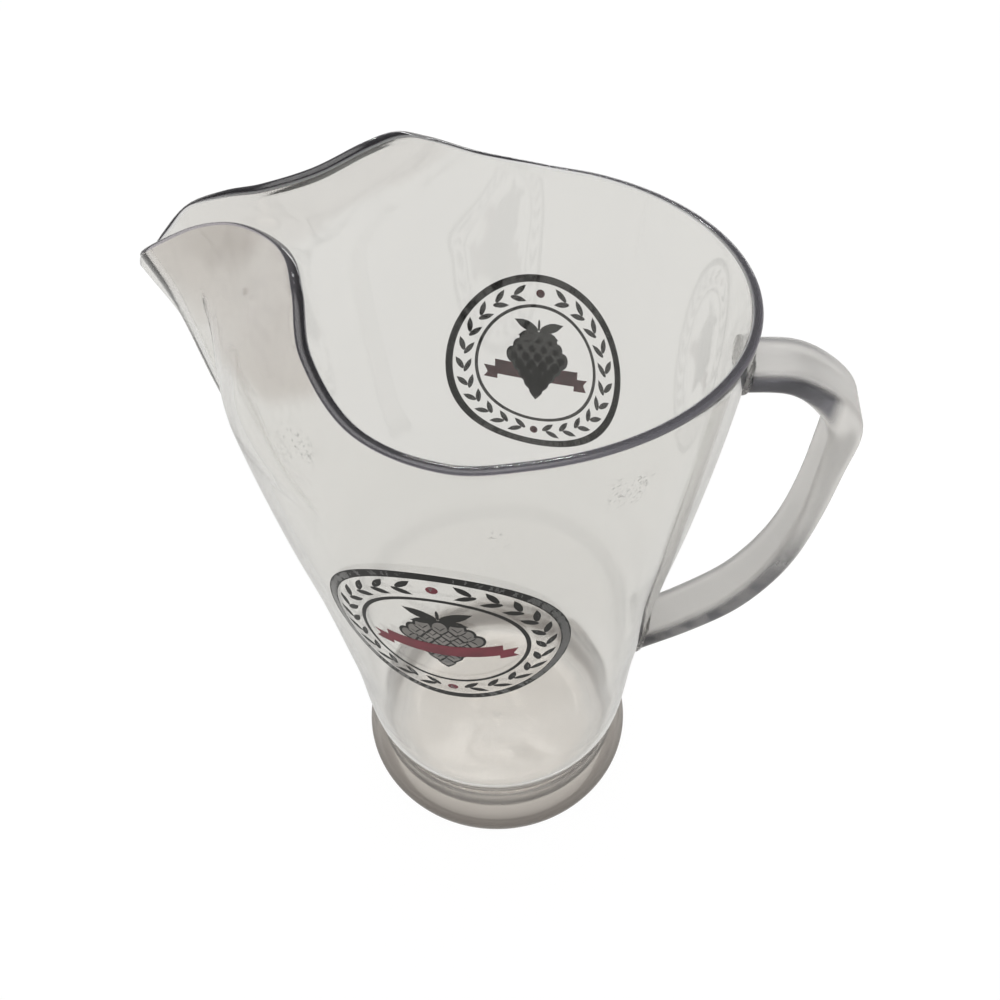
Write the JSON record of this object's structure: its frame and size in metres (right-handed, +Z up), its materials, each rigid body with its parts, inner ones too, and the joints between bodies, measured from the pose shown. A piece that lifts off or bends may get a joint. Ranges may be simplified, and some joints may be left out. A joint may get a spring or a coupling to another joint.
{
  "type": "beer pitcher",
  "caption": "Clear plastic beer pitcher with a flared foot, a waist, a pinched pouring spout between raised ears and a welded strap handle.",
  "frame": {"origin": "centre of the round foot, on the surface that the pitcher stands on", "axes": "+Z up, +X towards the handle, -X towards the spout; the XZ plane is the plane of symmetry"},
  "size_m": [0.1927, 0.139, 0.2249],
  "materials": {
    "clear_plastic": "clear glossy styrene acrylonitrile, lightly scuffed by use",
    "clear_plastic_handle": "clear glossy solid strap",
    "welded_plastic": "clear plastic, uneven where it was melted"
  },
  "bodies": {
    "root": {"pitcher_body": "clear_plastic", "handle": "clear_plastic_handle", "upper_handle_weld": "welded_plastic", "lower_handle_weld": "welded_plastic"}
  },
  "joints": []
}
